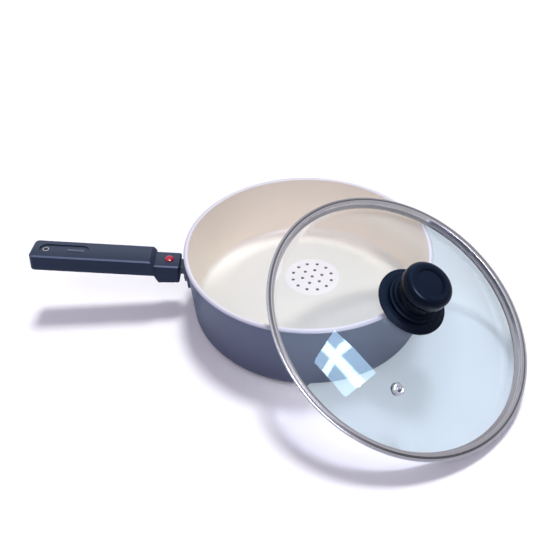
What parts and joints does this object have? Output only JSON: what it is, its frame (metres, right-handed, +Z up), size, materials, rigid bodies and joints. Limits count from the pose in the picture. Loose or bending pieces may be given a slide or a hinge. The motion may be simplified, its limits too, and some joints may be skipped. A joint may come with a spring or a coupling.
{
  "type": "saucepan with glass lid",
  "caption": "Round straight-sided pan with a detachable grip handle and release button, and a domed glass lid with a knob leaning on its rim.",
  "frame": {"origin": "centre of the pan's underside, on the plane it stands on", "axes": "+Z up, the handle points along -X, the lid leans towards +X and -Y"},
  "size_m": [0.4622, 0.3206, 0.1194],
  "materials": {
    "coated_aluminium": "satin non-stick coating",
    "stainless_disc": "brushed",
    "indicator_print": "matt",
    "bracket_steel": "blasted",
    "stud_steel": "bare",
    "handle_phenolic": "satin",
    "spring_steel": "bright",
    "fastener_steel": "bright",
    "button_plastic": "gloss",
    "eyelet_steel": "bright",
    "inlay_plastic": "satin",
    "band_steel": "polished",
    "lid_glass": "clear",
    "washer_steel": "bare",
    "knob_phenolic": "gloss",
    "insert_brass": "bare",
    "seal_silicone": "matt"
  },
  "bodies": {
    "pan": {"pan_body": "coated_aluminium", "induction_disc": "stainless_disc", "indicator_dots": "indicator_print", "bracket_flange": "bracket_steel", "bracket_tongue": "bracket_steel", "bracket_studs": "stud_steel"},
    "handle": {"handle_upper_shell": "handle_phenolic", "handle_lower_shell": "handle_phenolic", "latch_housing": "handle_phenolic", "latch_leaf": "spring_steel", "leaf_rivet": "fastener_steel", "grip_screws": "fastener_steel", "spigot_screws": "fastener_steel", "hanging_eyelet": "eyelet_steel", "handle_inlay": "inlay_plastic"},
    "button": {"release_button": "button_plastic"},
    "lid": {"lid_band": "band_steel", "lid_glass": "lid_glass", "vent_grommet": "eyelet_steel", "vent_washer": "washer_steel", "knob_body": "knob_phenolic", "knob_disc": "knob_phenolic", "knob_insert": "insert_brass", "knob_gasket": "seal_silicone", "under_gasket": "seal_silicone", "knob_washer": "washer_steel", "knob_screw": "fastener_steel"}
  },
  "joints": [
    {"name": "handle_pull", "type": "slide", "parent": "pan", "child": "handle", "axis": [-0.9941, 0, 0.1087], "range_m": [0, 0.04], "deforming": ["latch_leaf"]},
    {"name": "button_press", "type": "slide", "parent": "handle", "child": "button", "axis": [-0.1087, 0, -0.9941], "range_m": [0, 0.0022], "stiffness_N_per_m": 900},
    {"name": "lid_lift", "type": "slide", "parent": "pan", "child": "lid", "axis": [0, 0, 1], "range_m": [0, 0.08]}
  ]
}
